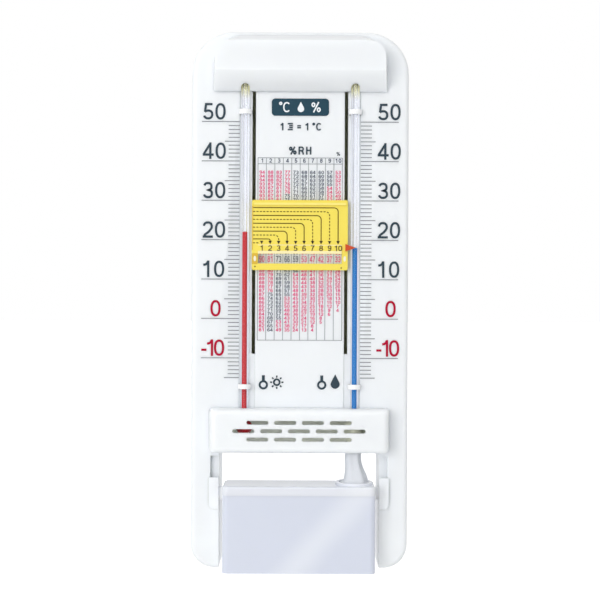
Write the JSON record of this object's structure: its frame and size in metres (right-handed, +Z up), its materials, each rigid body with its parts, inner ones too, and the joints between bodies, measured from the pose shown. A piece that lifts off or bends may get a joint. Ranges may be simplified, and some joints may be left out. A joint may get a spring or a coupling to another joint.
{
  "type": "wet and dry bulb hygrometer",
  "caption": "White plastic wall hygrometer with dry and wet bulb thermometers, degree scales, sliding humidity reader, vented bulb guard, gauze wick and lift-out water tank.",
  "frame": {"origin": "middle of the hanging hole's round entry, on the back face that lies on the wall", "axes": "+Z up along the case, +X to the right as seen from the front, +Y into the wall, so the front looks along -Y"},
  "size_m": [0.0972, 0.036, 0.24],
  "materials": {
    "case_white": "moulded plastic, satin",
    "cover_grey": "moulded plastic, matt",
    "screw_steel": "zinc plated",
    "clear_glass": "polished",
    "red_spirit": "dyed spirit",
    "blue_spirit": "dyed spirit",
    "clip_white": "moulded plastic",
    "scale_ink": "printed ink",
    "badge_ink": "printed ink",
    "slider_yellow": "moulded plastic, glossy",
    "lens_clear": "clear acrylic",
    "pointer_orange": "moulded plastic",
    "tank_plastic": "translucent milky plastic",
    "gauze": "cotton gauze",
    "thread": "cotton thread"
  },
  "bodies": {
    "case": {"front_panel": "case_white", "back_cover": "cover_grey", "cover_screw_1": "screw_steel", "cover_screw_2": "screw_steel", "cover_screw_3": "screw_steel", "cover_screw_4": "screw_steel", "top_hood": "case_white", "bulb_guard": "case_white", "dry_tube": "clear_glass", "wet_tube": "clear_glass", "dry_spirit": "red_spirit", "wet_spirit": "blue_spirit", "dry_upper_clip": "clip_white", "dry_lower_clip": "clip_white", "wet_upper_clip": "clip_white", "wet_lower_clip": "clip_white", "dry_scale": "scale_ink", "wet_scale": "scale_ink", "humidity_table": "scale_ink", "badge": "badge_ink", "wick": "gauze", "wick_tie": "thread"},
    "reader": {"slider_plate": "slider_yellow", "magnifier_lens": "lens_clear", "slider_pointer": "pointer_orange", "slider_keeper": "slider_yellow"},
    "tank": {"water_tank": "tank_plastic", "tank_lid": "tank_plastic"}
  },
  "joints": [
    {"name": "reader_slide", "type": "slide", "parent": "case", "child": "reader", "axis": [0, 0, 1], "range_m": [-0.037, 0.0465]},
    {"name": "tank_lift", "type": "slide", "parent": "case", "child": "tank", "axis": [0, 0, 1], "range_m": [0, 0.011]}
  ]
}
